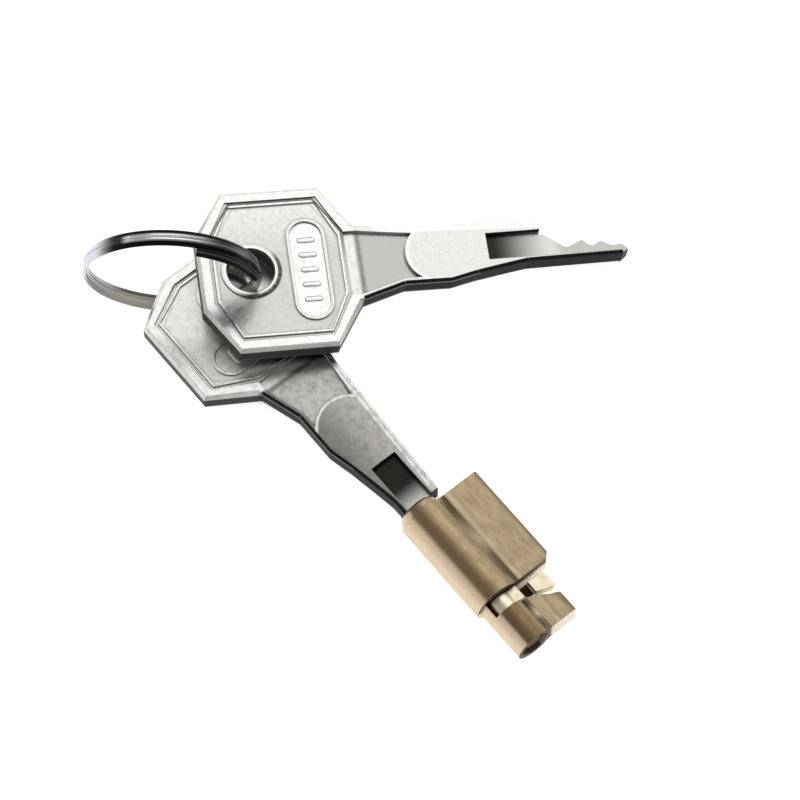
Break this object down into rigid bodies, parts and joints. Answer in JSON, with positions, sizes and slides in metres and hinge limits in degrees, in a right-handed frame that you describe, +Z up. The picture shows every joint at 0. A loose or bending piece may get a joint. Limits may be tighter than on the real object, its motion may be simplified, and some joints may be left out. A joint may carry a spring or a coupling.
{
  "type": "trailer hitch lock",
  "caption": "Brass profile cylinder of a trailer hitch lock, cam in its slot, flat key inserted and a spare key fanned on the same split ring.",
  "frame": {"origin": "under the middle of the whole object, on the surface it lies on", "axes": "+Z up; +X along the longer side of the laid-out object, towards the spare key's tip; +Y to the far side, where the spare key lies"},
  "size_m": [0.0714, 0.0636, 0.0235],
  "materials": {
    "lock_brass": "drawn brass profile, satin, slightly dulled",
    "bright_brass": "freshly turned brass",
    "key_nickel": "nickel plate over a stamped satin blank",
    "ring_chrome": "polished plated spring wire",
    "pin_steel": "drawn spring steel"
  },
  "bodies": {
    "housing": {"housing": "lock_brass", "driver_pin_1": "bright_brass", "driver_pin_2": "bright_brass", "driver_pin_3": "bright_brass", "pin_spring_1": "pin_steel", "pin_spring_2": "pin_steel", "pin_spring_3": "pin_steel", "chamber_cap_1": "bright_brass", "chamber_cap_2": "bright_brass", "chamber_cap_3": "bright_brass"},
    "plug": {"plug": "lock_brass", "cam": "bright_brass", "cam_pin": "pin_steel", "retaining_clip": "pin_steel", "key_pin_1": "bright_brass", "key_pin_2": "bright_brass", "key_pin_3": "bright_brass"},
    "inserted_key": {"inserted_key": "key_nickel"},
    "spare_key": {"spare_key": "key_nickel"},
    "split_ring": {"split_ring": "ring_chrome"}
  },
  "joints": [
    {"name": "plug_turn", "type": "hinge", "parent": "housing", "child": "plug", "pos_m": [0.00915, -0.013, 0.00325], "axis": [0.6521, -0.7581, 0], "range_deg": [0, 90]},
    {"name": "key_slide", "type": "slide", "parent": "plug", "child": "inserted_key", "axis": [-0.6521, 0.7581, 0], "range_m": [0, 0.014]},
    {"name": "spare_key_fan", "type": "hinge", "parent": "inserted_key", "child": "spare_key", "pos_m": [-0.01417, 0.01859, 0.00772], "axis": [0.121, 0.0207, 0.9924], "range_deg": [-30, 140]},
    {"name": "ring_turn", "type": "hinge", "parent": "inserted_key", "child": "split_ring", "pos_m": [-0.02402, 0.01692, 0.01175], "axis": [0, -0.9981, -0.061], "range_deg": [0, 180]}
  ]
}
